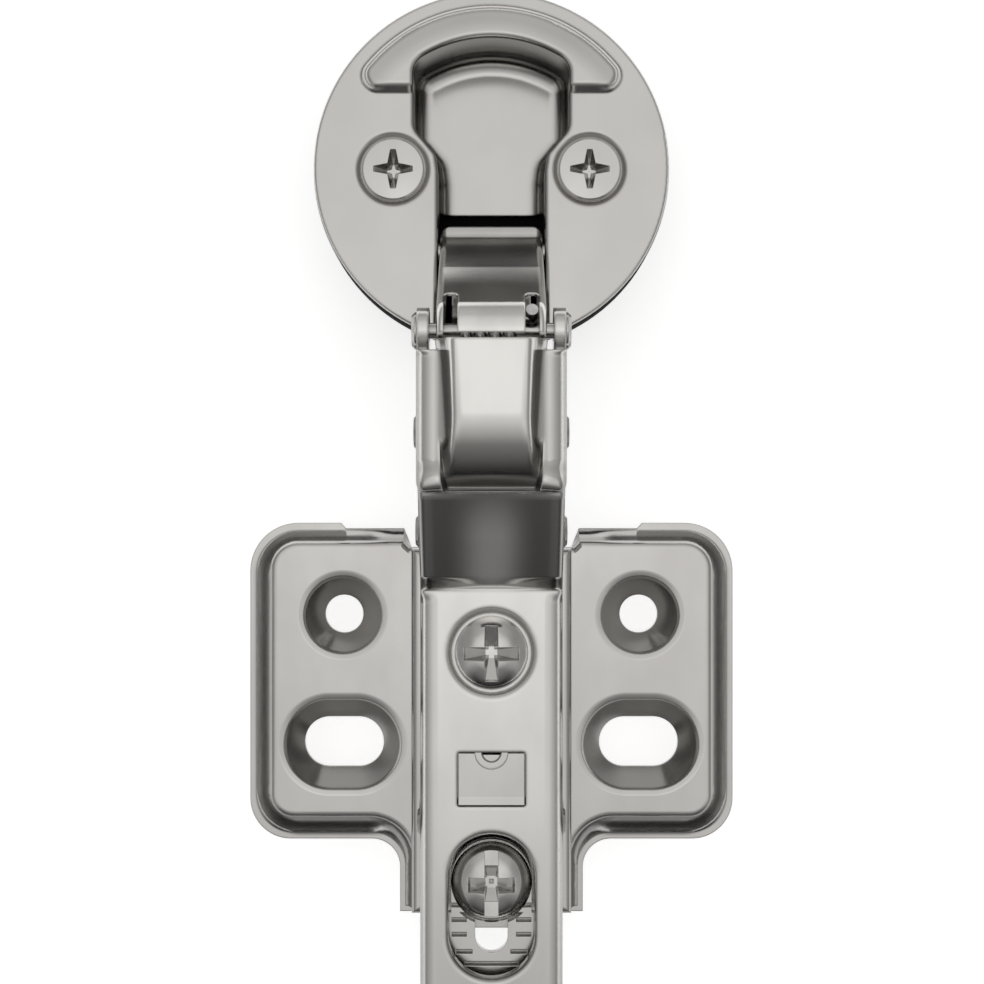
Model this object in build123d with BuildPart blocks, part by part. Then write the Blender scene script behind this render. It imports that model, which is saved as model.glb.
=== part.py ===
from build123d import *
from math import atan2, cos, degrees, radians, sin
import os

os.makedirs("parts", exist_ok=True)

# Frame: X across the hinge, Y towards the cup, Z up from the panel.
# The origin is midway between the two round fixing holes, on the panel face.

# ---- mounting plate ----
PLATE_W = 52.5
PLATE_FRONT = 9.87
PLATE_REAR = -24.5
NECK_W = 19.9
NECK_REAR = -32.4
WING_TOP = 2.6
WING_HALF = 25.95
WING_FRONT = 9.3
WING_REAR = -24.2
WING_NECK = 9.55
SHEET = 1.2
LIP = 0.65
HOLE_X = 16.0
HOLE_D = 4.1
SLOT_Y = -13.9
SLOT_L = 8.55
SLOT_W = 5.4
SPINE_W = 17.0
SPINE_TOP = 4.8
SPINE_FRONT = 7.3
SPINE_REAR = -31.8

# ---- arm ----
ARM_W = 14.7
ARM_REAR = -42.0
ARM_TOP = 10.6
SHOULDER_TOP = 20.2
CROWN_TOP = 21.4
WALL_FRONT = 27.0
CROWN_FRONT = 28.1
ARM_IN = ARM_W / 2 - SHEET

# ---- pins, as (Y, Z) ----
FRONT_PIN = (29.2, 16.3)
SECOND_PIN = (19.3, 12.0)
STOP_PIN = (9.2, 10.0)
TILT_PIN = (-21.2, 7.1)
FRONT_PIN_R = 0.8
PIN_R = 0.9
RIVET_HALF = 7.88

# ---- adjusting screws ----
SIDE_SCREW_Y = -3.3
CLAMP_Y = -27.25

# ---- cup: U runs from the door edge inwards, depths are measured below the flange face ----
CUP_Y = 47.55
CUP_Z = 6.0
CUP_TILT = 2.0
FLANGE_R = 18.78
FLANGE_T = 1.0
WELL_DEPTH = 8.4
CUP_SHEET = 0.9
BODY_R = 17.4
BODY_DEPTH = 11.6
COLLAR_DEPTH = 4.2
OUTER_PIN_U = -8.6
OUTER_PIN_D = 3.2
INNER_PIN_U = -12.24
INNER_PIN_D = 2.88
CUP_SCREW_X = 10.38
CUP_SCREW_U = -0.25

tilt = radians(CUP_TILT)
cup_face = Plane(origin=(0, CUP_Y, CUP_Z), x_dir=(1, 0, 0), z_dir=(0, sin(tilt), cos(tilt)))
side = Plane.YZ


def cup_point(u, depth):
    """World (Y, Z) of a point of the cup's middle plane."""
    return (
        CUP_Y + u * cos(tilt) - depth * sin(tilt),
        CUP_Z - u * sin(tilt) - depth * cos(tilt),
    )


OUTER_PIN = cup_point(OUTER_PIN_U, OUTER_PIN_D)
INNER_PIN = cup_point(INNER_PIN_U, INNER_PIN_D)


def near(vertices, x, y, reach=0.05):
    """Vertices of a sketch within reach of a point."""
    return [v for v in vertices if abs(v.X - x) < reach and abs(v.Y - y) < reach]


def upper_edges(part, z, reach=0.02):
    """Edges that lie wholly at one height."""
    return [
        e for e in part.edges()
        if abs(e.bounding_box().min.Z - z) < reach and abs(e.bounding_box().max.Z - z) < reach
    ]


# ---------------------------------------------------------------- mounting plate
half_w = PLATE_W / 2
neck = NECK_W / 2
with BuildSketch() as plate_outline:
    with BuildLine():
        Polyline(
            (0, SPINE_FRONT),
            (8.9, SPINE_FRONT),
            (9.5, 9.17),
            (15.75, 9.17),
            (16.4, PLATE_FRONT),
            (half_w, PLATE_FRONT),
            (half_w, PLATE_REAR),
            (neck, PLATE_REAR),
            (neck, NECK_REAR),
            (0, NECK_REAR),
        )
        mirror(about=Plane.YZ)
    make_face()
    for sign in (-1, 1):
        fillet(near(plate_outline.vertices(), sign * half_w, PLATE_FRONT), 5.2)
        fillet(near(plate_outline.vertices(), sign * half_w, PLATE_REAR), 4.4)
        fillet(near(plate_outline.vertices(), sign * neck, PLATE_REAR), 3.05)


def wing_loop(inset):
    """Outline of the raised wings; the sides lean in by different amounts as it rises."""
    half = WING_HALF - inset
    front = WING_FRONT - 0.62 * inset
    rear = WING_REAR + 1.1 * inset
    waist = WING_NECK - 0.5 * inset
    with BuildSketch() as loop:
        Polygon(
            (-half, front), (-half, rear), (-waist, rear), (-waist, NECK_REAR + LIP),
            (waist, NECK_REAR + LIP), (waist, rear), (half, rear), (half, front),
            (9.5, front), (8.7, SPINE_FRONT), (-8.7, SPINE_FRONT), (-9.5, front),
            align=None,
        )
        for sign in (-1, 1):
            fillet(near(loop.vertices(), sign * half, front), 4.9 - 0.9 * inset)
            fillet(near(loop.vertices(), sign * half, rear), 4.2 - 0.8 * inset)
            fillet(near(loop.vertices(), sign * waist, rear), 3.4 + 0.6 * inset)
    return loop.sketch


with BuildPart() as wings:
    # flank: concave foot, then steeper up to the flat top
    for z, inset in ((0.4, 0), (0.72, 0.8), (1.3, 1.5), (WING_TOP, 2.4)):
        add(Plane.XY.offset(z) * wing_loop(inset))
    loft()
    fillet(upper_edges(wings, WING_TOP), 0.8)

with BuildPart() as wing_hollow:
    add(wing_loop(1.5))
    add(Plane.XY.offset(WING_TOP - SHEET) * wing_loop(3.0))
    loft(ruled=True)

with BuildPart() as mounting_plate:
    add(plate_outline.sketch)
    extrude(amount=0.5)
    add(wings.part)
    # raised spine
    with BuildSketch(Plane.XY) as spine_foot:
        with Locations((0, (SPINE_FRONT + SPINE_REAR) / 2)):
            Rectangle(SPINE_W + 0.3, SPINE_FRONT - SPINE_REAR)
    extrude(amount=SPINE_TOP, taper=2)
    fillet(upper_edges(mounting_plate, SPINE_TOP), 0.8)
    # guide tab behind the spine
    with BuildSketch(Plane.XY.offset(SPINE_TOP - SHEET)):
        with Locations((0, SPINE_REAR - 0.3)):
            RectangleRounded(8.4, 1.9, 0.4)
    extrude(amount=SHEET)
    # hollow of the wings and of the spine, open to the panel
    add(wing_hollow.part, mode=Mode.SUBTRACT)
    with BuildSketch(Plane.XY) as spine_hollow:
        with Locations((0, (SPINE_FRONT + SPINE_REAR) / 2)):
            Rectangle(SPINE_W - 2 * SHEET, SPINE_FRONT - SPINE_REAR - 2 * SHEET)
    extrude(amount=SPINE_TOP - SHEET, mode=Mode.SUBTRACT)
    # pressed funnels round the fixing holes
    with BuildSketch(Plane.XY.offset(0.1)) as funnels:
        with Locations((-HOLE_X, 0), (HOLE_X, 0)):
            Circle(3.6)
        with Locations((-HOLE_X, SLOT_Y), (HOLE_X, SLOT_Y)):
            SlotOverall(SLOT_L + 3.0, SLOT_W + 3.0)
    extrude(amount=1.6)
    with Locations((-HOLE_X, 0, WING_TOP), (HOLE_X, 0, WING_TOP)):
        CounterSinkHole(radius=HOLE_D / 2, counter_sink_radius=4.25, depth=6, counter_sink_angle=94)
    for sign in (-1, 1):
        with BuildSketch(Plane.XY.offset(WING_TOP)):
            with Locations((sign * HOLE_X, SLOT_Y)):
                SlotOverall(12.7, 9.9)
        with BuildSketch(Plane.XY.offset(0.5)):
            with Locations((sign * HOLE_X, SLOT_Y)):
                SlotOverall(SLOT_L, SLOT_W)
        loft(mode=Mode.SUBTRACT)
    with BuildSketch(Plane.XY) as slots:
        with Locations((-HOLE_X, SLOT_Y), (HOLE_X, SLOT_Y)):
            SlotOverall(SLOT_L, SLOT_W)
    extrude(amount=2, mode=Mode.SUBTRACT)
    # clearance for the clamp screw's threaded boss and for the side screw's foot
    with BuildSketch(Plane.XY) as spine_holes:
        with Locations((0, CLAMP_Y)):
            Circle(2.6)
        with Locations((0, SIDE_SCREW_Y + 1.85)):
            SlotOverall(12, 6, rotation=90)
    extrude(amount=6, mode=Mode.SUBTRACT)

def at_height(y, z):
    """Horizontal plane on the hinge's middle line."""
    return Plane(origin=(0, y, z))


def upright(y):
    """Vertical plane across the hinge, seen from the rear, for turned profiles."""
    return Plane(origin=(0, y, 0), x_dir=(1, 0, 0), z_dir=(0, -1, 0))


with BuildPart() as clamp_nut:
    with BuildSketch(at_height(CLAMP_Y, 0.6)):
        Circle(3.2)
    extrude(amount=3.0)
    with BuildSketch(at_height(CLAMP_Y, 3.6)):
        Circle(2.58)
    extrude(amount=1.2)
    with BuildSketch(at_height(CLAMP_Y, 0)):
        Circle(1.62)
    extrude(amount=6, mode=Mode.SUBTRACT)

# ---------------------------------------------------------------- clamp screw
with BuildPart() as clamp_screw:
    with BuildSketch(upright(CLAMP_Y)):
        with BuildLine():
            Polyline((0, 1.0), (1.25, 1.0), (1.55, 1.4), (1.55, 7.85), (4.15, 7.85), (4.2, 8.7))
            ThreePointArc((4.2, 8.7), (2.4, 10.15), (0, 10.6))
            Line((0, 10.6), (0, 1.0))
        make_face()
    revolve(axis=Axis((0, CLAMP_Y, 0), (0, 0, 1)))
    # long driver slot
    with BuildSketch(at_height(CLAMP_Y, 9.5)):
        Rectangle(1.45, 9.2)
    extrude(amount=2, mode=Mode.SUBTRACT)
    # cross recess whose arms slope down to the centre
    for length, width, angle in ((4.7, 1.6, 0), (4.0, 1.4, 90)):
        with BuildSketch(at_height(CLAMP_Y, 10.7)):
            Rectangle(length + 0.5, width, rotation=angle)
        with BuildSketch(at_height(CLAMP_Y, 9.4)):
            Rectangle(length - 0.3, width - 0.1, rotation=angle)
        with BuildSketch(at_height(CLAMP_Y, 8.5)):
            Rectangle(1.2, 0.9, rotation=angle)
        loft(ruled=True, mode=Mode.SUBTRACT)
    with BuildSketch(at_height(CLAMP_Y, 9.2)):
        Rectangle(1.5, 1.5)
    extrude(amount=-1.0, taper=35, mode=Mode.SUBTRACT)

# ---------------------------------------------------------------- carriage
CARRIAGE_HALF = ARM_IN - 0.12
TONGUE_R = 4.25
with BuildPart() as carriage:
    with BuildSketch(side):
        Polygon(
            (-41.0, 4.85), (6.5, 4.85), (6.5, 7.45), (-11.5, 7.8), (-41.0, 7.8),
            align=None,
        )
    extrude(amount=CARRIAGE_HALF, both=True)
    long_edges = carriage.edges().filter_by(Axis.Y).group_by(Axis.Z)[-1]
    fillet(long_edges, 0.8)
    with BuildSketch(side):
        Polygon(
            (-45.0, 4.0), (10.0, 4.0), (10.0, 6.45), (-11.5, 6.8), (-45.0, 6.8),
            align=None,
        )
    extrude(amount=CARRIAGE_HALF - 1.0, both=True, mode=Mode.SUBTRACT)
    # indicator pad with a sloped rear face and a stepped half-round notch
    with BuildSketch(side):
        Polygon((-18.95, 7.5), (-13.65, 7.5), (-13.65, 10.3), (-18.2, 10.3), (-18.95, 10.5), align=None)
    extrude(amount=3.4, both=True)
    with BuildSketch(Plane.XY.offset(9.6)):
        with Locations((0, -13.65)):
            Circle(1.7)
    extrude(amount=2, mode=Mode.SUBTRACT)
    with BuildSketch(Plane.XY.offset(9.6)):
        with Locations((0, -13.65)):
            Circle(1.05)
        with Locations((0, -11.65)):
            Rectangle(4, 4, mode=Mode.SUBTRACT)
    extrude(amount=0.5, taper=20)
    # slot for the clamp screw and keyhole for the side screw
    with BuildSketch(Plane.XY.offset(5.5)):
        with Locations((0, CLAMP_Y - 2.5)):
            SlotOverall(10.2, 3.4, rotation=90)
        with Locations((0, SIDE_SCREW_Y)):
            SlotOverall(5.6, 3.4, rotation=90)
    extrude(amount=4, mode=Mode.SUBTRACT)
    # cut that frees the round front end of the tongue
    with BuildSketch(Plane.XY.offset(5.5)):
        for reach, kind in ((TONGUE_R + 0.5, Mode.ADD), (TONGUE_R, Mode.SUBTRACT)):
            with Locations((0, CLAMP_Y)):
                Circle(reach, mode=kind)
            with Locations((0, CLAMP_Y - 1.7)):
                Rectangle(2 * reach, 3.4, mode=kind)
    extrude(amount=4, mode=Mode.SUBTRACT)
    # serrations of the tongue, beside and behind the slot
    for y, inner, outer in (
        (-29.9, 2.6, 4.15), (-31.43, 2.6, 4.15), (-32.96, 2.6, 4.15), (-34.75, 2.0, 3.7), (-36.0, 0, 2.8),
    ):
        for sign in (-1, 1):
            with BuildSketch(side.offset(sign * inner)):
                Polygon((y - 0.3, 7.9), (y, 7.35), (y + 0.3, 7.9), align=None)
            extrude(amount=sign * (outer - inner), mode=Mode.SUBTRACT)
    with BuildSketch(side):
        with Locations(TILT_PIN):
            Circle(PIN_R + 0.02)
    extrude(amount=10, both=True, mode=Mode.SUBTRACT)


def rivet(place, shank_r, head_r, half):
    """Closed rivet across the hinge with low domed heads."""
    wall = ARM_W / 2 + 0.02
    with BuildPart() as pin:
        with BuildSketch(side):
            with Locations(place):
                Circle(shank_r)
        extrude(amount=half, both=True)
        for sign in (-1, 1):
            with BuildSketch(side.offset(sign * wall)):
                with Locations(place):
                    Circle(head_r)
            extrude(amount=sign * (half - wall))
        ends = pin.edges().filter_by(GeomType.CIRCLE).group_by(Axis.X)
        chamfer(ends[0] + ends[-1], 0.3)
    return pin.part


# ---------------------------------------------------------------- arm
lobe_r = 2.3
crank = Plane(origin=(0, 3.3, ARM_TOP), x_dir=(1, 0, 0), z_dir=(0, 14.8, SHOULDER_TOP - ARM_TOP))
DISH_R = 55.0
DISH_DEPTH = 0.32
with BuildPart() as crown:
    # flat top with leaning sides, a little narrower towards the rear
    for z, inset in ((SHOULDER_TOP - 5, 0), (SHOULDER_TOP - 0.4, 0), (CROWN_TOP, 1.45)):
        with BuildSketch(Plane.XY.offset(z)):
            with BuildLine():
                Polyline(
                    (0, CROWN_FRONT), (5.5 - inset, CROWN_FRONT), (5.25 - inset, 25.6),
                    (4.95 - inset, 20.6), (4.5 - inset, 12.0), (0, 12.0),
                )
                mirror(about=Plane.YZ)
            make_face()
    loft(ruled=True)
    with BuildSketch(side):
        with BuildLine():
            Line((CROWN_FRONT + 1, CROWN_TOP), (20.8, CROWN_TOP))
            ThreePointArc((20.8, CROWN_TOP), (16.9, 20.3), (13.4, 17.0))
            Polyline((13.4, 17.0), (13.4, 15.0), (CROWN_FRONT + 1, 15.0), (CROWN_FRONT + 1, CROWN_TOP))
        make_face()
    extrude(amount=10, both=True, mode=Mode.INTERSECT)

    bends = [
        e for e in crown.edges()
        if e.bounding_box().min.Z > SHOULDER_TOP
        and e.bounding_box().size.Y > 2
        and abs(e.center().X) > 1.5
    ]
    fillet(bends, 1.6)

with BuildPart() as rails:
    # shoulders that stay high beside the crank
    with BuildSketch(side) as rails_side:
        Polygon(
            (13.2, 15.5), (13.2, SHOULDER_TOP), (20.5, SHOULDER_TOP), (20.5, 15.5),
            align=None,
        )
        fillet(near(rails_side.vertices(), 13.2, SHOULDER_TOP), 1.7)
    extrude(amount=ARM_W / 2, both=True)
    with BuildSketch(Plane.XY.offset(SHOULDER_TOP)):
        Polygon((-4.9, 13), (4.9, 13), (5.1, 21), (-5.1, 21), align=None)
    extrude(amount=-6, taper=12, mode=Mode.SUBTRACT)
    outer_bends = [
        e for e in rails.edges()
        if abs(abs(e.center().X) - ARM_W / 2) < 0.01 and e.bounding_box().min.Z > 19.2
        and e.bounding_box().size.Y > 0.5 and e.bounding_box().max.Z > SHOULDER_TOP - 0.01
    ]
    fillet(outer_bends, 0.85)

with BuildPart() as hinge_arm:
    with BuildSketch(side) as hinge_arm_side:
        with BuildLine():
            Polyline((ARM_REAR, ARM_TOP), (3.3, ARM_TOP), (18.1, SHOULDER_TOP), (WALL_FRONT, SHOULDER_TOP))
            Line((WALL_FRONT, SHOULDER_TOP), (WALL_FRONT + 0.3, 17.62))
            ThreePointArc(
                (WALL_FRONT + 0.3, 17.62),
                (FRONT_PIN[0] + lobe_r, FRONT_PIN[1]),
                (FRONT_PIN[0], FRONT_PIN[1] - lobe_r),
            )
            Polyline(
                (FRONT_PIN[0], FRONT_PIN[1] - lobe_r),
                (24.9, 13.9), (20.9, 9.6), (12.0, 6.6), (ARM_REAR, 5.7), (ARM_REAR, ARM_TOP),
            )
        make_face()
        fillet(near(hinge_arm_side.vertices(), 3.3, ARM_TOP), 1.0)
        fillet(near(hinge_arm_side.vertices(), 18.1, SHOULDER_TOP), 2)
    extrude(amount=ARM_W / 2, both=True)
    bend = [
        e for e in hinge_arm.edges()
        if e.bounding_box().size.X < 0.01
        and e.bounding_box().min.Z > ARM_TOP - 0.01
        and e.bounding_box().max.Y < WALL_FRONT + 0.01
        and e.bounding_box().size.Y > 0.5
    ]
    fillet(bend, 0.85)
    # shallow dish along the crank
    with BuildSketch(crank):
        with Locations((0, DISH_DEPTH - DISH_R)):
            Circle(DISH_R)
        with Locations((0, -5)):
            Rectangle(12.6, 12, mode=Mode.INTERSECT)
    extrude(amount=15.5, mode=Mode.SUBTRACT)
    add(crown.part)
    add(rails.part)
    # channel below the sheet
    with BuildSketch(side) as channel:
        with BuildLine():
            Polyline(
                (ARM_REAR - 1, ARM_TOP - SHEET),
                (3.7, ARM_TOP - SHEET),
                (18.5, SHOULDER_TOP - SHEET),
                (35, SHOULDER_TOP - SHEET),
                (35, 2),
                (ARM_REAR - 1, 2),
                (ARM_REAR - 1, ARM_TOP - SHEET),
            )
        make_face()
        fillet(near(channel.vertices(), 3.7, ARM_TOP - SHEET), 2.2)
        fillet(near(channel.vertices(), 18.5, SHOULDER_TOP - SHEET), 0.8)
    extrude(amount=ARM_IN, both=True, mode=Mode.SUBTRACT)
    # hollow under the crown
    with BuildSketch(Plane.XY.offset(SHOULDER_TOP - SHEET - 0.5)):
        Polygon((-4.3, 29), (-3.6, 20.4), (3.6, 20.4), (4.3, 29), align=None)
    extrude(amount=CROWN_TOP - SHOULDER_TOP + 0.5, taper=25, mode=Mode.SUBTRACT)
    # indicator window
    with BuildSketch(Plane.XY.offset(ARM_TOP - 2)):
        with Locations((0, -16.3)):
            RectangleRounded(7.1, 5.6, 0.3)
    extrude(amount=4, mode=Mode.SUBTRACT)
    # long window for the clamp screw, with a turned-down rim
    with BuildSketch(Plane.XY.offset(ARM_TOP - SHEET - 0.5)):
        with Locations((0, -29.4)):
            SlotOverall(17.0, 10.6, rotation=90)
    extrude(amount=0.6)
    with BuildSketch(Plane.XY.offset(ARM_TOP - SHEET - 2)):
        with Locations((0, -29.4)):
            SlotOverall(15.0, 8.9, rotation=90)
    extrude(amount=5, mode=Mode.SUBTRACT)
    rim = [
        e for e in hinge_arm.edges()
        if abs(e.center().Z - ARM_TOP) < 0.01
        and -37.5 < e.bounding_box().min.Y
        and e.bounding_box().max.Y < -21.0
        and abs(e.bounding_box().max.X) < 5 and abs(e.bounding_box().min.X) < 5
    ]
    fillet(rim, 0.5)
    # dimple and threaded collar of the side screw
    with BuildSketch(Plane.XY.offset(ARM_TOP - SHEET - 0.7)):
        with Locations((0, SIDE_SCREW_Y)):
            Circle(3.4)
    extrude(amount=1.0)
    with BuildSketch(Plane.XY.offset(ARM_TOP)):
        with Locations((0, SIDE_SCREW_Y)):
            Circle(4.7)
    extrude(amount=-0.5, taper=50, mode=Mode.SUBTRACT)
    mouth = hinge_arm.edges().filter_by(GeomType.CIRCLE)
    fillet([e for e in mouth if abs(e.radius - 4.7) < 0.01], 0.5)
    with Locations((0, SIDE_SCREW_Y, ARM_TOP)):
        Hole(2.05)
    # pin holes
    with BuildSketch(side):
        with Locations(FRONT_PIN):
            Circle(FRONT_PIN_R)
        with Locations(SECOND_PIN, STOP_PIN):
            Circle(PIN_R)
    extrude(amount=12, both=True, mode=Mode.SUBTRACT)
    with BuildSketch(side):
        with Locations(TILT_PIN):
            Circle(PIN_R + 0.03)
    extrude(amount=12, both=True, mode=Mode.SUBTRACT)

front_pin = rivet(FRONT_PIN, FRONT_PIN_R, 1.85, RIVET_HALF)
inner_link_pin = rivet(SECOND_PIN, PIN_R, 1.8, RIVET_HALF)
stop_pin = rivet(STOP_PIN, PIN_R, 1.7, RIVET_HALF - 0.1)
tilt_pin = rivet(TILT_PIN, PIN_R, 1.45, RIVET_HALF - 0.15)

# ---------------------------------------------------------------- side adjusting screw
with BuildPart() as side_adjust_screw:
    with BuildSketch(upright(SIDE_SCREW_Y)):
        with BuildLine():
            Polyline(
                (0, 5.5), (2.4, 5.5), (2.4, 6.05), (1.4, 6.05), (1.4, 8.3),
                (1.98, 8.6), (1.98, 10.2), (3.75, 10.2), (3.8, 10.55),
            )
            ThreePointArc((3.8, 10.55), (2.2, 11.72), (0, 12.1))
            Line((0, 12.1), (0, 5.5))
        make_face()
    revolve(axis=Axis((0, SIDE_SCREW_Y, 0), (0, 0, 1)))
    # cross recess: steep ends, then floors that fall to the centre
    for angle in (0, 90):
        with BuildSketch(at_height(SIDE_SCREW_Y, 12.3)):
            Rectangle(6.3, 1.45, rotation=angle)
        with BuildSketch(at_height(SIDE_SCREW_Y, 10.9)):
            Rectangle(5.4, 1.25, rotation=angle)
        with BuildSketch(at_height(SIDE_SCREW_Y, 9.7)):
            Rectangle(1.2, 0.6, rotation=angle)
        loft(ruled=True, mode=Mode.SUBTRACT)
    with BuildSketch(at_height(SIDE_SCREW_Y, 12.3)):
        Rectangle(2.0, 2.0, rotation=45)
    extrude(amount=-2.4, taper=14, mode=Mode.SUBTRACT)

# ---------------------------------------------------------------- outer link
LINK_W = 10.8
CHEEK = 0.75
web_gauge = 0.95
a1 = FRONT_PIN
reach_a1 = 3.25


def link_outside(point):
    """Whether a point of the web lies on its outer face."""
    if point.Y > 31.9:
        fall = 18.25 - (point.Y - 31.85) * 1.6
        return point.Z > fall - 0.6
    return (point.Y - a1[0]) ** 2 + (point.Z - a1[1]) ** 2 > (reach_a1 - 0.3) ** 2


with BuildPart() as outer_link:
    # web: lip at the cup end, steep middle, curl over the spring
    with BuildSketch(side) as web:
        with BuildLine():
            Polyline((41.5, 4.2), (40.3, 4.75), (36.2, 11.6), (31.85, 18.25))
            ThreePointArc(
                (31.85, 18.25),
                (a1[0] + reach_a1 * cos(radians(65)), a1[1] + reach_a1 * sin(radians(65))),
                (a1[0] + reach_a1 * cos(radians(98)), a1[1] + reach_a1 * sin(radians(98))),
            )
            Line(
                (a1[0] + reach_a1 * cos(radians(98)), a1[1] + reach_a1 * sin(radians(98))),
                (
                    a1[0] + (reach_a1 - web_gauge) * cos(radians(98)),
                    a1[1] + (reach_a1 - web_gauge) * sin(radians(98)),
                ),
            )
            ThreePointArc(
                (
                    a1[0] + (reach_a1 - web_gauge) * cos(radians(98)),
                    a1[1] + (reach_a1 - web_gauge) * sin(radians(98)),
                ),
                (
                    a1[0] + (reach_a1 - web_gauge) * cos(radians(65)),
                    a1[1] + (reach_a1 - web_gauge) * sin(radians(65)),
                ),
                (31.08, 17.65),
            )
            Polyline((31.08, 17.65), (35.4, 11.1), (39.7, 3.95), (41.15, 3.3), (41.5, 4.2))
        make_face()
        fillet(near(web.vertices(), 40.3, 4.75), 1.2)
        fillet(near(web.vertices(), 39.7, 3.95), 1.2)
        fillet(near(web.vertices(), 36.2, 11.6) + near(web.vertices(), 35.4, 11.1), 6)
        fillet(near(web.vertices(), 31.85, 18.25), 1.8)
    extrude(amount=LINK_W / 2, both=True)
    long_bends = [
        e for e in outer_link.edges()
        if abs(abs(e.center().X) - LINK_W / 2) < 0.01 and e.bounding_box().size.X < 0.01
        and link_outside(e @ 0.5) and e.bounding_box().size.Y > 0.02
    ]
    fillet(long_bends, 0.7)
    # plan outline with rounded lip corners
    with BuildSketch(Plane.XY) as link_plan:
        with Locations((0, 34.5)):
            Rectangle(LINK_W, 14)
        fillet(link_plan.vertices().group_by(Axis.Y)[-1], 1.1)
    extrude(amount=30, mode=Mode.INTERSECT)
    # cheeks with an eye at each end
    for sign in (-1, 1):
        with BuildSketch(side.offset(sign * (LINK_W / 2 - CHEEK))):
            with Locations(FRONT_PIN):
                Circle(1.75)
            with Locations(OUTER_PIN):
                Circle(2.05)
            Polygon(
                (29.6, 17.5), (31.3, 17.9), (35.65, 11.25), (39.7, 4.5), (39.4, 2.0), (37.2, 1.9),
                (34.2, 8.2), (28.4, 14.8),
                align=None,
            )
        extrude(amount=sign * CHEEK)
    # notches beside the curl
    with BuildSketch(Plane.XY.offset(14)) as notches:
        for sign in (-1, 1):
            with Locations((sign * 4.0, 29.6)):
                RectangleRounded(1.4, 6.4, 0.45)
    extrude(amount=8, mode=Mode.SUBTRACT)
    with BuildSketch(side):
        with Locations(FRONT_PIN):
            Circle(FRONT_PIN_R + 0.04)
        with Locations(OUTER_PIN):
            Circle(1.1 + 0.04)
    extrude(amount=12, both=True, mode=Mode.SUBTRACT)

# ---------------------------------------------------------------- torsion spring
WIRE_R = 0.6
LEG_R = 0.62
coil_r = FRONT_PIN_R + 0.12 + WIRE_R
coil_half = 2.65
spring_plane = Plane(origin=(0, *FRONT_PIN), x_dir=(0, 0, -1), z_dir=(1, 0, 0))
with BuildPart() as torsion_spring:
    with BuildLine() as coil_line:
        coil_start = spring_plane.from_local_coords((0, 0, -coil_half))
        Helix(1.443, 2 * coil_half, coil_r, center=coil_start, direction=spring_plane.z_dir)
    with BuildSketch(Plane(origin=coil_line.line @ 0, z_dir=coil_line.line % 0)):
        Circle(WIRE_R)
    sweep()
    coil_end = spring_plane.to_local_coords(coil_line.line @ 1)
    # leg that crosses to the notch and stands up in it, cut off aslant
    corners = (
        (coil_end.X, coil_end.Y, coil_half - 0.2), (coil_end.X, coil_end.Y, 4.0), (0.2, 1.95, 4.0),
        (-2.6, 1.95, 4.0),
    )
    for start, end in zip(corners, corners[1:]):
        foot = spring_plane.from_local_coords(start)
        run = spring_plane.from_local_coords(end) - foot
        with Locations(foot):
            Sphere(LEG_R)
        with BuildSketch(Plane(origin=foot, z_dir=run.normalized())):
            Circle(LEG_R)
        extrude(amount=run.length)
    with BuildSketch(Plane(origin=(0, FRONT_PIN[0] + 1.95, 18.0), z_dir=(0, 0.68, 0.73))):
        Rectangle(30, 30)
    extrude(amount=4, mode=Mode.SUBTRACT)

# ---------------------------------------------------------------- inner link
CHEEK_IN = 4.2
L2 = ((INNER_PIN[0] - SECOND_PIN[0]) ** 2 + (INNER_PIN[1] - SECOND_PIN[1]) ** 2) ** 0.5
link_angle = atan2(INNER_PIN[1] - SECOND_PIN[1], INNER_PIN[0] - SECOND_PIN[0])
along = (cos(link_angle), sin(link_angle))
across = (-sin(link_angle), cos(link_angle))


def on_link(s, t):
    """World (Y, Z) of a point s along and t across the inner link, from the cup end."""
    return (
        INNER_PIN[0] - s * along[0] + t * across[0],
        INNER_PIN[1] - s * along[1] + t * across[1],
    )


with BuildPart() as inner_link:
    with BuildSketch(side):
        with Locations(on_link(0, 0)):
            Circle(1.6)
        Polygon(
            on_link(0.2, -1.6), on_link(-0.4, 1.5), on_link(1.2, 1.0), on_link(2.6, 0.2), on_link(4.2, 0.35),
            on_link(7.5, 1.4), on_link(13.0, 2.4), on_link(L2 - 0.2, 3.5), on_link(L2 + 1.7, 2.6),
            on_link(L2 + 2.2, 0.2), on_link(L2 + 1.4, -1.7), on_link(L2 - 0.8, -1.95), on_link(9.0, -1.7),
            align=None,
        )
    extrude(amount=CHEEK_IN, both=True)
    with BuildSketch(side):
        Polygon(
            on_link(-3, -0.8), on_link(-3, 5), on_link(L2 + 4, 6), on_link(L2 + 4, -4), on_link(13.2, -4),
            on_link(13.2, -0.75), align=None,
        )
    extrude(amount=CHEEK_IN - 1.0, both=True, mode=Mode.SUBTRACT)
    with BuildSketch(side):
        with Locations(INNER_PIN):
            Circle(1.0 + 0.04)
        # wide eye: the arm's pin wanders in it as the hinge closes
        with Locations(on_link(L2 - 0.18, 0.78)):
            SlotOverall(1.56 + 2.4, 2.4, rotation=degrees(link_angle) + 90)
    extrude(amount=12, both=True, mode=Mode.SUBTRACT)

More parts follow.
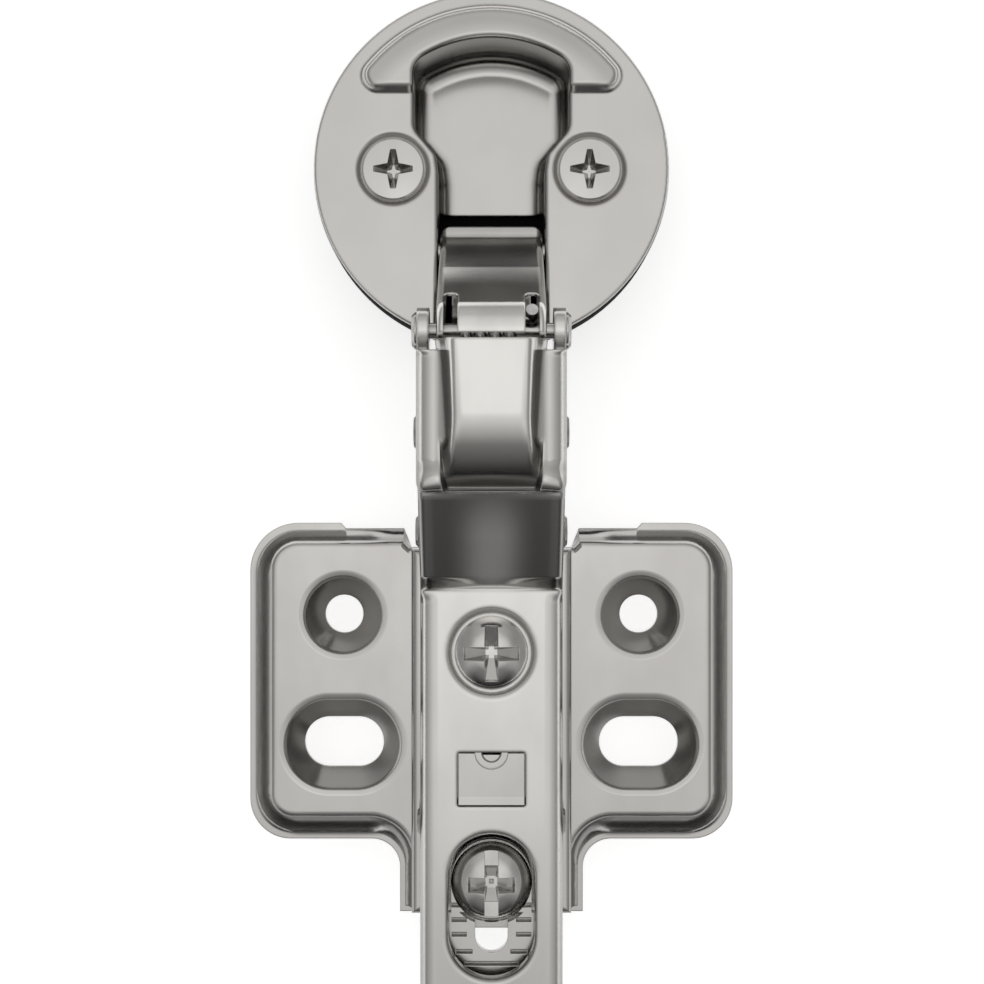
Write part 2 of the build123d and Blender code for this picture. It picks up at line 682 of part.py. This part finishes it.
# ---------------------------------------------------------------- cup
def keyhole(grow=0.0):
    """Outline of the well: wide beyond the cup screws, narrow towards the door edge."""
    with BuildSketch(cup_face) as outline:
        with BuildLine():
            ThreePointArc((-8.2, 11.0), (0, 13.65), (8.2, 11.0))
            Polyline(
                (8.2, 11.0), (8.2, 4.1), (5.9, 1.4), (5.65, -0.4), (5.65, -21),
                (-5.65, -21), (-5.65, -0.4), (-5.9, 1.4), (-8.2, 4.1), (-8.2, 11.0),
            )
        make_face()
        for sign in (-1, 1):
            fillet(near(outline.vertices(), sign * 8.2, 11.0), 2.1)
            fillet(near(outline.vertices(), sign * 8.2, 4.1), 2.2)
            fillet(near(outline.vertices(), sign * 5.9, 1.4), 1.2)
            fillet(near(outline.vertices(), sign * 5.65, -0.4), 1.2)
        if grow:
            offset(amount=grow)
    return outline.sketch


with BuildPart() as well_space:
    add(keyhole())
    extrude(amount=-WELL_DEPTH)
    well_floor = well_space.faces().sort_by(Axis.Z)[0]
    fillet(well_floor.edges(), 1.8)
    add(keyhole())
    extrude(amount=2)

with BuildPart() as well_block:
    add(keyhole(CUP_SHEET))
    extrude(amount=-WELL_DEPTH - CUP_SHEET)
    with BuildSketch(cup_face):
        with Locations((0, 2.35)):
            Rectangle(30, 36.3)
    extrude(amount=-30, mode=Mode.INTERSECT)

with BuildPart() as crescent:
    # raised crescent round the far side of the well, cut through by it
    for depth, height, lean in ((-CUP_SHEET, CUP_SHEET, 0), (0, 0.9, 42)):
        with BuildSketch(cup_face.offset(depth)) as crescent_foot:
            Circle(17.3)
            with Locations((0, 7.8 - 20)):
                Rectangle(60, 40, mode=Mode.SUBTRACT)
            fillet(crescent_foot.vertices(), 1.9)
        extrude(amount=height, taper=lean)
    add(well_space.part, mode=Mode.SUBTRACT)
    fillet([e for e in crescent.edges() if cup_face.to_local_coords(e @ 0.5).Z > 0.3], 0.6)

with BuildPart() as cup:
    with BuildSketch(cup_face):
        Circle(FLANGE_R)
    extrude(amount=-FLANGE_T)
    rim_edge = cup.edges().filter_by(GeomType.CIRCLE).sort_by(Axis.Z)[-1]
    fillet(rim_edge, 0.35)
    add(well_block.part)
    add(well_space.part, mode=Mode.SUBTRACT)
    # rounded mouth of the well
    mouth = []
    for edge in cup.edges():
        middle = cup_face.to_local_coords(edge @ 0.5)
        if abs(middle.Z) < 0.02 and abs(middle.X) < 8.5 and abs(middle.Y) < 16.5:
            mouth.append(edge)
    fillet(mouth, 0.5)
    add(crescent.part)
    # open bottom where the links swing
    with BuildSketch(cup_face):
        with Locations((0, -13.5)):
            Rectangle(11.3, 20)
    extrude(amount=-30, mode=Mode.SUBTRACT)
    # dimples and holes of the cup screws
    for sign in (-1, 1):
        with BuildSketch(cup_face):
            with Locations((sign * CUP_SCREW_X, CUP_SCREW_U)):
                Circle(3.95)
        extrude(amount=-0.45, taper=48, mode=Mode.SUBTRACT)
        brim = [e for e in cup.edges().filter_by(GeomType.CIRCLE) if abs(e.radius - 3.95) < 0.01]
        fillet(brim, 0.35)
        with BuildSketch(cup_face):
            with Locations((sign * CUP_SCREW_X, CUP_SCREW_U)):
                Circle(1.75)
        extrude(amount=-3, mode=Mode.SUBTRACT)
    with BuildSketch(side):
        with Locations(OUTER_PIN):
            Circle(1.1)
        with Locations(INNER_PIN):
            Circle(1.0)
    extrude(amount=12, both=True, mode=Mode.SUBTRACT)

with BuildPart() as cup_bush:
    with BuildSketch(cup_face.offset(-FLANGE_T)):
        Circle(18.85)
    extrude(amount=FLANGE_T - COLLAR_DEPTH)
    with BuildSketch(cup_face.offset(-FLANGE_T)):
        Circle(BODY_R)
    extrude(amount=FLANGE_T - BODY_DEPTH)
    chamfer(cup_bush.edges().filter_by(GeomType.CIRCLE).sort_by(Axis.Z)[0], 1.2)
    add(well_block.part, mode=Mode.SUBTRACT)
    # slot through the collar at the door edge
    with BuildSketch(cup_face):
        with Locations((0, -16)):
            Rectangle(11.3, 8)
    extrude(amount=-COLLAR_DEPTH, mode=Mode.SUBTRACT)
    # relief under the dimples and bores of the cup screws
    for sign in (-1, 1):
        with BuildSketch(cup_face.offset(-FLANGE_T)):
            with Locations((sign * CUP_SCREW_X, CUP_SCREW_U)):
                Circle(1.72)
        extrude(amount=-8.0, mode=Mode.SUBTRACT)


def cup_screw(x):
    """Flat-domed cross-recessed screw seated in a dimple of the flange."""
    centre = cup_face.from_local_coords((x, CUP_SCREW_U, 0))
    seat = Plane(origin=centre, x_dir=(1, 0, 0), z_dir=cup_face.z_dir)
    profile = Plane(origin=centre, x_dir=(1, 0, 0), z_dir=-cup_face.y_dir)
    with BuildPart() as screw:
        with BuildSketch(profile):
            with BuildLine():
                Polyline(
                    (0, -8.6), (1.2, -8.2), (1.7, -7.4), (1.7, -0.43),
                    (3.2, -0.43), (3.3, -0.3), (3.3, 0.0), (3.15, 0.12),
                )
                ThreePointArc((3.15, 0.12), (2.0, 0.2), (0, 0.25))
                Line((0, 0.25), (0, -8.6))
            make_face()
        revolve(axis=Axis(centre, cup_face.z_dir))
        # star recess: arms that narrow outwards and fall to the centre
        for height, reach, tip, root in ((0.3, 2.2, 0.3, 0.6), (-1.2, 0.7, 0.1, 0.22)):
            with BuildSketch(seat.offset(height)):
                Polygon(
                    (reach, -tip), (reach, tip), (root, root), (tip, reach), (-tip, reach), (-root, root),
                    (-reach, tip), (-reach, -tip), (-root, -root), (-tip, -reach), (tip, -reach),
                    (root, -root),
                    align=None,
                )
        loft(ruled=True, mode=Mode.SUBTRACT)
    return screw.part


def cup_pin(place, radius):
    """Plain pin across the well, with chamfered ends."""
    with BuildPart() as pin:
        with BuildSketch(side):
            with Locations(place):
                Circle(radius - 0.01)
        extrude(amount=6.3, both=True)
        chamfer(pin.edges().filter_by(GeomType.CIRCLE), 0.2)
    return pin.part


cup_screw_left = cup_screw(-CUP_SCREW_X)
cup_screw_right = cup_screw(CUP_SCREW_X)
cup_pin_outer = cup_pin(OUTER_PIN, 1.1)
cup_pin_inner = cup_pin(INNER_PIN, 1.0)

# ---------------------------------------------------------------- export
pieces = {
    "mounting_plate": mounting_plate.part,
    "clamp_nut": clamp_nut.part,
    "clamp_screw": clamp_screw.part,
    "carriage": carriage.part,
    "tilt_pin": tilt_pin,
    "hinge_arm": hinge_arm.part,
    "front_pin": front_pin,
    "inner_link_pin": inner_link_pin,
    "stop_pin": stop_pin,
    "side_adjust_screw": side_adjust_screw.part,
    "outer_link": outer_link.part,
    "torsion_spring": torsion_spring.part,
    "inner_link": inner_link.part,
    "cup": cup.part,
    "cup_bush": cup_bush.part,
    "cup_screw_left": cup_screw_left,
    "cup_screw_right": cup_screw_right,
    "cup_pin_outer": cup_pin_outer,
    "cup_pin_inner": cup_pin_inner,
}
for name, solid in pieces.items():
    solid.label = name
    export_step(solid, f"parts/{name}.step")
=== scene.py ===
import math
import bpy
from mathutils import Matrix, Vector


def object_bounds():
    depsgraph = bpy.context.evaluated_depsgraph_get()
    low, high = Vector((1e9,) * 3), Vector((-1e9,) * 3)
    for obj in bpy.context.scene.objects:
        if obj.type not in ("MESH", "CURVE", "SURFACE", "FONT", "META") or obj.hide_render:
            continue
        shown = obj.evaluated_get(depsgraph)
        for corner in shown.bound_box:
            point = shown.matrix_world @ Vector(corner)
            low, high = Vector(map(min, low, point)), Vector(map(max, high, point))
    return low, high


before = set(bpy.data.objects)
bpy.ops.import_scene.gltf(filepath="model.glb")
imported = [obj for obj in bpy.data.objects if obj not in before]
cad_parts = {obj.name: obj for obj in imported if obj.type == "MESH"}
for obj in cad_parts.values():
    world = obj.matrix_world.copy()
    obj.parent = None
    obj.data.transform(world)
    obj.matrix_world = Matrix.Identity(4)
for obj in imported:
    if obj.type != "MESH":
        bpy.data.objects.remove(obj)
cadBox = [list(corner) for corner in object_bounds()]
print("loaded", len(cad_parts), "solids")


# a node socket that can be added, multiplied and so on: an expression on it adds its Math nodes
class Sock:
    def __init__(self, nodes, socket):
        self.nodes = nodes
        self.socket = socket

    def calc(self, operation, *values):
        return self.nodes.add("ShaderNodeMath", {"operation": operation}, dict(enumerate(values)))

    def __add__(self, other):
        return self.calc("ADD", self, other)

    def __radd__(self, other):
        return self.calc("ADD", other, self)

    def __sub__(self, other):
        return self.calc("SUBTRACT", self, other)

    def __rsub__(self, other):
        return self.calc("SUBTRACT", other, self)

    def __mul__(self, other):
        return self.calc("MULTIPLY", self, other)

    def __rmul__(self, other):
        return self.calc("MULTIPLY", other, self)

    def max(self, other):
        return self.calc("MAXIMUM", self, other)

    def root(self):
        return self.calc("SQRT", self)

    def abs(self):
        return self.calc("ABSOLUTE", self)

    def sign(self):
        return self.calc("SIGN", self)

    def fade(self, span, top=1.0):
        # smooth step: 0 at the first value of the span, top at the second
        return self.nodes.add(
            "ShaderNodeMapRange", {"interpolation_type": "SMOOTHSTEP"},
            {"Value": self, "From Min": span[0], "From Max": span[1], "To Max": top},
        )


class NodeSet:
    def __init__(self, tree):
        self.tree = tree
        tree.nodes.clear()

    def add(self, kind, settings=None, inputs=None, output=0):
        node = self.tree.nodes.new(kind)
        for name, value in (settings or {}).items():
            setattr(node, name, value)
        for name, value in (inputs or {}).items():
            if isinstance(value, Sock):
                self.tree.links.new(value.socket, node.inputs[name])
            else:
                node.inputs[name].default_value = value
        return Sock(self, node.outputs[output]) if node.outputs else None

    def out(self, sock, output):
        # another output of the node that a socket comes from
        return Sock(self, sock.socket.node.outputs[output])

    def axes(self, vector):
        x = self.add("ShaderNodeSeparateXYZ", {}, {"Vector": vector})
        return x, self.out(x, 1), self.out(x, 2)

    def noise(self, place, size, detail):
        return self.add("ShaderNodeTexNoise", {}, {"Vector": place, "Scale": 1 / size, "Detail": detail})

    def bump(self, height, strength=1.0, depth=1.0, over=None):
        inputs = {"Strength": strength, "Distance": depth, "Height": height}
        if over:
            inputs["Normal"] = over
        return self.add("ShaderNodeBump", {}, inputs)

    def tint(self, look, factor):
        # the finish's colour, going over to its dull one
        return self.add(
            "ShaderNodeMix", {"data_type": "RGBA"},
            {"Factor": factor, "A": (*look["colour"], 1), "B": (*look["dull"], 1)}, output=2,
        )


def newMaterial(name):
    material = bpy.data.materials.new(name)
    material.use_nodes = True
    return material, NodeSet(material.node_tree)


def dress(material, *pieces):
    for piece in pieces:
        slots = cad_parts[piece].data.materials
        slots.clear()
        slots.append(material)


# what the plated and steel finishes share, lengths in metres; each piece's own dictionary says the rest
plating = dict(
    # roughness, how far it wanders, and how much smoother rubbed edges are
    rough=0.20, roughSpread=0.05, edgeShine=0.04,
    edgeSamples=6, rubSpan=(0.995, 0.80),
    # painted shade on walls: the first value below is the share of the colour kept on sloping walls, the
    # second paints light back where they face the front, and each piece's own value for the steeper walls is
    # the share kept there, also painted shade
    wall=1.0, forwardPaintedLight=0.0, slopeSpan=(0.93, 0.70), steepSpan=(0.62, 0.30),
    # fine grain, drawn out along the hinge, and slow clouding
    grain=0.07, grainSize=0.00016, grainDetail=2.0, grainDepth=0.00001, draw=(1.0, 0.6, 1.0),
    cloudSpan=(0.35, 0.70), cloudDetail=3.0,
)


def wallShade(n, look, facing):
    # painted shade: the colour is darkened on sloping walls, most of all on the steeper ones, and painted
    # light lifts it where slopes face the front
    forwardPaintedLight, up = n.axes(facing)[1:]
    slope = up.abs().fade(look["slopeSpan"])
    steep = up.abs().fade(look["steepSpan"])
    sloping = 1.0 - slope * (1.0 - look["wall"] - forwardPaintedLight * look["forwardPaintedLight"])
    return sloping * (1.0 - steep * (1.0 - look["steep"]))


def metal(look, relief=None, matteAndPaintedLight=None, roll=None):
    # relief gives a height in metres, the next argument a patch from -0.5 to 1 that adds roughness and paints
    # highlight and shade into the colour, and roll turns the normal
    material, n = newMaterial(look["name"])
    place = n.add("ShaderNodeTexCoord", output="Object")
    drawn = n.add("ShaderNodeMapping", {}, {"Vector": place, "Scale": look["draw"]})
    cloud = n.noise(drawn, look["cloudSize"], look["cloudDetail"])
    grain = n.noise(drawn, look["grainSize"], look["grainDetail"])
    # edges are rounded, and rubbed where the rounding leans off the face
    normal = n.add("ShaderNodeBevel", {"samples": look["edgeSamples"]}, {"Radius": look["edge"]})
    flat = n.add("ShaderNodeNewGeometry", output="Normal")
    off = n.add("ShaderNodeVectorMath", {"operation": "DOT_PRODUCT"}, {0: normal, 1: flat}, output="Value")
    rub = off.fade(look["rubSpan"])
    rough = look["rough"] + (cloud - 0.5) * look["roughSpread"] - rub * look["edgeShine"]
    # painted shade on sloping and steeper walls, and painted light where they face the front
    shade = wallShade(n, look, n.out(place, "Normal"))
    # the patch adds roughness; its value also paints a highlight into the colour above 0 and shade below it
    if matteAndPaintedLight:
        patch = matteAndPaintedLight(n, place)
        rough = rough + patch.max(0.0) * look["patchRough"]
        shade = shade * (1.0 + patch * look["patchPaintedHighlight"])
    if roll:
        normal = roll(n, place, normal)
    if relief:
        normal = n.bump(relief(n, place), over=normal)
    clouded = n.tint(look, cloud.fade(look["cloudSpan"]))
    shader = n.add(
        "ShaderNodeBsdfPrincipled", {},
        {
            "Base Color": n.add("ShaderNodeVectorMath", {"operation": "SCALE"}, {0: clouded, "Scale": shade}),
            "Metallic": 1.0, "Roughness": rough,
            "Normal": n.bump(grain, look["grain"], look["grainDepth"], over=normal),
        },
    )
    n.add("ShaderNodeOutputMaterial", {}, {"Surface": shader})
    return material


def distance(across, along):
    return (across * across + along * along).root()


# mounting plate
plateLook = dict(
    plating, name="nickelPlate", colour=(0.60, 0.586, 0.567), dull=(0.56, 0.546, 0.527),
    wall=0.62, forwardPaintedLight=0.42, steep=0.50, rough=0.18, edge=0.00018, cloudSize=0.006,
    # countersinks: where they stand, the ring over which each mouth rolls in, and how deep
    holeX=0.016, slotY=-0.0139, slotHalf=0.0014,
    holeMouth=(0.0039, 0.0049), slotMouth=(0.0046, 0.0056), mouthDepth=0.00020,
    # outline of the rolled rims, and the band inside it that leans over
    halfWide=cadBox[1][0] - 0.0003, midY=-0.00745, halfLong=0.01675, corner=0.0052,
    band=0.0022, bandFade=0.0011, rimEnd=(0.0001, -0.0006), spineClear=(0.0105, 0.0135), tilt=0.50,
)


def countersinkRoll(n, place):
    # the sheet rolls in round the countersinks
    look = plateLook
    across, along = n.axes(place)[:2]
    offset = (across.abs() - look["holeX"]).abs()
    hole = distance(offset, along)
    slot = distance((offset - look["slotHalf"]).max(0.0), along - look["slotY"])
    return hole.fade(look["holeMouth"], look["mouthDepth"]) + slot.fade(look["slotMouth"], look["mouthDepth"])


def wingRoll(n, place, normal):
    # the wings' rims roll over outwards: lean the normal away from the plate near its outline
    look = plateLook
    fromMiddle, fromHoles = n.axes(place)[:2]
    fromCentre = fromHoles - look["midY"]
    across = (fromMiddle.abs() - (look["halfWide"] - look["corner"])).max(0.0)
    along = (fromCentre.abs() - (look["halfLong"] - look["corner"])).max(0.0)
    reach = distance(across, along)
    start = look["corner"] - look["band"]
    amount = reach.fade((start, start + look["bandFade"]), look["tilt"])
    amount = amount * fromMiddle.abs().fade(look["spineClear"])
    amount = amount * reach.fade([look["corner"] + past for past in look["rimEnd"]])
    ways = n.add(
        "ShaderNodeCombineXYZ", {}, {"X": across * fromMiddle.sign(), "Y": along * fromCentre.sign()},
    )
    outward = n.add("ShaderNodeVectorMath", {"operation": "NORMALIZE"}, {0: ways})
    lean = n.add("ShaderNodeVectorMath", {"operation": "SCALE"}, {0: outward, "Scale": amount})
    leant = n.add("ShaderNodeVectorMath", {"operation": "ADD"}, {0: normal, 1: lean})
    return n.add("ShaderNodeVectorMath", {"operation": "NORMALIZE"}, {0: leant})


dress(metal(plateLook, relief=countersinkRoll, roll=wingRoll), "mounting_plate")
print("plate done")


# cup's steel flange and well
cupLook = dict(
    plating, name="nickelCup", colour=(0.60, 0.586, 0.567), dull=(0.57, 0.556, 0.537),
    forwardPaintedLight=0.05, steep=0.60, rough=0.18, roughSpread=0.04, edge=0.00034,
    cloudSize=0.009, draw=(1.0, 0.8, 1.0),
    # the disc's centre, its face's height there and tilt in degrees
    discY=0.04755, faceZ=0.006, faceTilt=2.0,
    # the crescent's crown falls off outwards over this ring, only where it stands above the face
    crownRing=(0.0138, 0.0176), crownFall=-0.0006, above=(0.0002, 0.0006),
)


def crescentCrown(n, place):
    look = cupLook
    across, along, height = n.axes(place)
    fromCentre = along - look["discY"]
    tilt = math.radians(look["faceTilt"])
    above = (height - look["faceZ"]) * math.cos(tilt) + fromCentre * math.sin(tilt)
    return distance(across, fromCentre).fade(look["crownRing"], look["crownFall"]) * above.fade(look["above"])


dress(metal(cupLook, relief=crescentCrown), "cup")
print("cup done")


# arm
armLook = dict(
    plating, name="nickelArm", colour=(0.72, 0.71, 0.685), dull=(0.68, 0.67, 0.645),
    wall=0.75, forwardPaintedLight=0.15, steep=0.72, rough=0.17, edge=0.00045,
    cloudSize=0.005, draw=(1.0, 0.5, 1.0),
    # pressed forms: a height that grows over one span out from the middle line, within spans along the arm
    trough=dict(height=0.0011, out=(0.0, 0.0085), along=((0.0030, 0.0046), (0.0150, 0.0124))),
    rails=dict(height=0.0013, out=(0.0052, 0.0090), along=((0.0128, 0.0150), (0.0272, 0.0262))),
    bends=dict(height=0.0009, out=(0.0054, 0.0084), along=((0.0030, 0.0016),)),
    crown=dict(height=0.0009, out=(0.0034, 0.0056), along=((0.0145, 0.0165),)),
    # a matt patch in the middle of the crank, which adds roughness and a painted highlight
    patch=dict(height=1.5, out=(0.0048, 0.0008), along=((0.0028, 0.0050), (0.0140, 0.0085))),
    patchRough=0.08, patchPaintedHighlight=0.55,
    # painted shade on the crank: its foot and top, and how it narrows at the top
    crankFoot=(0.0028, 0.0042), crankTop=(0.0192, 0.0165), crankPaintedShade=0.5,
    narrowAlong=(0.0150, 0.0136), narrowOut=(0.0054, 0.0044),
    # painted shade on the arm's rear end too
    rearSpan=(-0.020, -0.036), rearPaintedShade=0.3,
)


def pressedForm(form, out, along):
    height = out.fade(form["out"], form["height"])
    for span in form["along"]:
        height = height * along.fade(span)
    return height


def armRelief(n, place):
    # the crank's trough climbs outwards; the side rails, lower bends and crown fall away outwards
    across, along = n.axes(place)[:2]
    trough, rails, bends, crown = (
        pressedForm(armLook[form], across.abs(), along) for form in ("trough", "rails", "bends", "crown")
    )
    return trough - rails - bends - crown


def crankMatteAndPaintedLight(n, place):
    # matt patch with a painted highlight above 0, painted shade on the crank and rear end below it
    look = armLook
    across, along = n.axes(place)[:2]
    out = across.abs()
    dark = along.fade(look["crankFoot"]) * along.fade(look["crankTop"])
    narrow = along.fade(look["narrowAlong"]).max(out.fade(look["narrowOut"]))
    rear = along.fade(look["rearSpan"])
    patch = pressedForm(look["patch"], out, along)
    return patch - dark * narrow * look["crankPaintedShade"] - rear * look["rearPaintedShade"]


dress(metal(armLook, relief=armRelief, matteAndPaintedLight=crankMatteAndPaintedLight), "hinge_arm")
print("arm done")


# the two links
linkLook = dict(
    plating, name="nickelLink", colour=(0.74, 0.73, 0.705), dull=(0.68, 0.67, 0.645),
    steep=0.80, edge=0.00030, cloudSize=0.004,
    waveSize=1 / 130, waveDetail=0.0, waveHeight=0.00015,
    hollow=(0.0335, 0.0415), hollowHeight=0.0019,
)


def linkRelief(n, place):
    # slow waves left by the press, and a hollow across the middle of the link's web
    look = linkLook
    along = n.axes(place)[1]
    waves = n.noise(place, look["waveSize"], look["waveDetail"])
    return waves * look["waveHeight"] + along.fade(look["hollow"], look["hollowHeight"])


dress(metal(linkLook, relief=linkRelief), "outer_link", "inner_link")
print("links done")


# carriage, nut and cup screws
carriageLook = dict(
    plating, name="nickelCarriage", colour=(0.62, 0.606, 0.587), dull=(0.58, 0.566, 0.547),
    wall=0.95, forwardPaintedLight=0.10, steep=0.85, rough=0.19, edge=0.00012, cloudSize=0.004,
)
# the two adjusting screws
screwLook = dict(
    plating, name="nickelScrew", colour=(0.70, 0.69, 0.67), dull=(0.62, 0.61, 0.59),
    forwardPaintedLight=0.1, steep=0.9, rough=0.13, edge=0.00008, grain=0.10, grainSize=0.00012,
    cloudSize=0.002, draw=(1.0, 1.0, 1.0),
)
# pins turned from bright steel; the rivets take a darker copy of it, which is painted shade
pinLook = dict(
    plating, name="pinSteel", colour=(0.58, 0.57, 0.555), dull=(0.48, 0.47, 0.455),
    wall=0.85, steep=0.40, roughSpread=0.06, edge=0.00010, edgeShine=0.05, grain=0.12, grainSize=0.00012,
    cloudSize=0.002, draw=(0.3, 1.0, 1.0),
)
rivetPaintedShadeLook = dict(
    pinLook, name="rivetSteelPaintedShade", colour=(0.30, 0.292, 0.283), dull=(0.24, 0.235, 0.228), wall=0.75,
)
springLook = dict(
    plating, name="springWire", colour=(0.56, 0.55, 0.54), dull=(0.42, 0.415, 0.41),
    steep=0.6, roughSpread=0.08, edge=0.00006, grain=0.10, grainSize=0.00008,
    cloudSize=0.001, draw=(1.0, 1.0, 1.0),
)
dress(metal(carriageLook), "carriage", "clamp_nut", "cup_screw_left", "cup_screw_right")
dress(metal(screwLook), "clamp_screw", "side_adjust_screw")
dress(metal(pinLook), "front_pin", "cup_pin_outer", "cup_pin_inner")
dress(metal(rivetPaintedShadeLook), "inner_link_pin", "stop_pin", "tilt_pin")
dress(metal(springLook), "torsion_spring")
print("small parts done")


# cup's black moulded body
bushLook = dict(
    name="mouldedBlack", colour=(0.004, 0.004, 0.005), dull=(0.008, 0.008, 0.009),
    rough=0.75, roughSpread=0.1, gloss=0.04,
    hazeSize=0.004, hazeDetail=2.0,
    speck=0.25, speckSize=0.00025, speckDetail=3.0, speckDepth=0.00002,
)


def mouldedBlack(look):
    material, n = newMaterial(look["name"])
    place = n.add("ShaderNodeTexCoord", output="Object")
    speck = n.noise(place, look["speckSize"], look["speckDetail"])
    haze = n.noise(place, look["hazeSize"], look["hazeDetail"])
    shader = n.add(
        "ShaderNodeBsdfPrincipled", {},
        {
            "Base Color": n.tint(look, haze), "Specular IOR Level": look["gloss"],
            "Normal": n.bump(speck, look["speck"], look["speckDepth"]),
            "Roughness": look["rough"] + (haze - 0.5) * look["roughSpread"],
        },
    )
    n.add("ShaderNodeOutputMaterial", {}, {"Surface": shader})
    return material


dress(mouldedBlack(bushLook), "cup_bush")
print("body done")


# studio: pale floor, and a soft sky with paler and darker parts
studio = dict(
    floorDrop=0.0002, floorSize=6.0, floorColour=(0.82, 0.82, 0.82), floorGlow=0.66,
    skyColour=(1.0, 0.995, 0.985), skyBase=0.34, skyLeast=0.02,
    # direction, half-angles in degrees where the lobe is full and where it ends, strength
    lobes=(
        ((0.0, 0.08, 1.0), 34, 49, 0.18),
        ((0.0, 0.66, 0.75), 2, 54, 0.23),
        ((0.0, -0.43, 0.90), 2, 72, 0.29),
        ((0.0, -0.894, 0.448), 26, 55, -0.38),
        ((0.0, 0.02, 1.0), 2, 13, 0.20),
    ),
)


def buildSky():
    world = bpy.data.worlds.new("softSky")
    bpy.context.scene.world = world
    world.use_nodes = True
    n = NodeSet(world.node_tree)
    way = n.add("ShaderNodeTexCoord", output="Generated")
    light = studio["skyBase"]
    for direction, full, end, strength in studio["lobes"]:
        aim = tuple(Vector(direction).normalized())
        near = n.add("ShaderNodeVectorMath", {"operation": "DOT_PRODUCT"}, {0: way, 1: aim}, output="Value")
        light = light + near.fade([math.cos(math.radians(angle)) for angle in (end, full)], strength)
    shader = n.add(
        "ShaderNodeBackground", {},
        {"Color": (*studio["skyColour"], 1), "Strength": light.max(studio["skyLeast"])},
    )
    n.add("ShaderNodeOutputWorld", {}, {"Surface": shader})


def buildFloor():
    half = studio["floorSize"] / 2
    z = cadBox[0][2] - studio["floorDrop"]
    mesh = bpy.data.meshes.new("studioFloor")
    corners = [(-half, -half, z), (half, -half, z), (half, half, z), (-half, half, z)]
    mesh.from_pydata(corners, [], [(0, 1, 2, 3)])
    floor = bpy.data.objects.new("studioFloor", mesh)
    bpy.context.scene.collection.objects.link(floor)
    material, n = newMaterial("paleFloor")
    ray = n.add("ShaderNodeLightPath", output="Is Camera Ray")
    seen = ray.max(n.out(ray, "Is Glossy Ray")).max(n.out(ray, "Is Transmission Ray"))
    plain = n.add("ShaderNodeBsdfDiffuse", {}, {"Color": (*studio["floorColour"], 1)})
    glow = n.add("ShaderNodeEmission", {}, {"Color": (1, 1, 1, 1), "Strength": studio["floorGlow"]})
    lit = n.add("ShaderNodeAddShader", {}, {0: plain, 1: glow})
    shown = n.add("ShaderNodeMixShader", {}, {"Fac": seen, 1: plain, 2: lit})
    n.add("ShaderNodeOutputMaterial", {}, {"Surface": shown})
    mesh.materials.append(material)


cameraLook = dict(sensor=36.0, lens=59.3, near=0.005, far=10.0, place=(0.00006, 0.01323, 0.177))


def buildCamera():
    data = bpy.data.cameras.new("mainCamera")
    data.sensor_width = cameraLook["sensor"]
    data.lens = cameraLook["lens"]
    data.clip_start = cameraLook["near"]
    data.clip_end = cameraLook["far"]
    camera = bpy.data.objects.new("mainCamera", data)
    camera.location = cameraLook["place"]  # left unturned, so it looks straight down
    bpy.context.scene.collection.objects.link(camera)
    bpy.context.scene.camera = camera


buildSky()
buildFloor()
buildCamera()
bpy.context.scene.view_settings.view_transform = "Standard"
print("studio done")
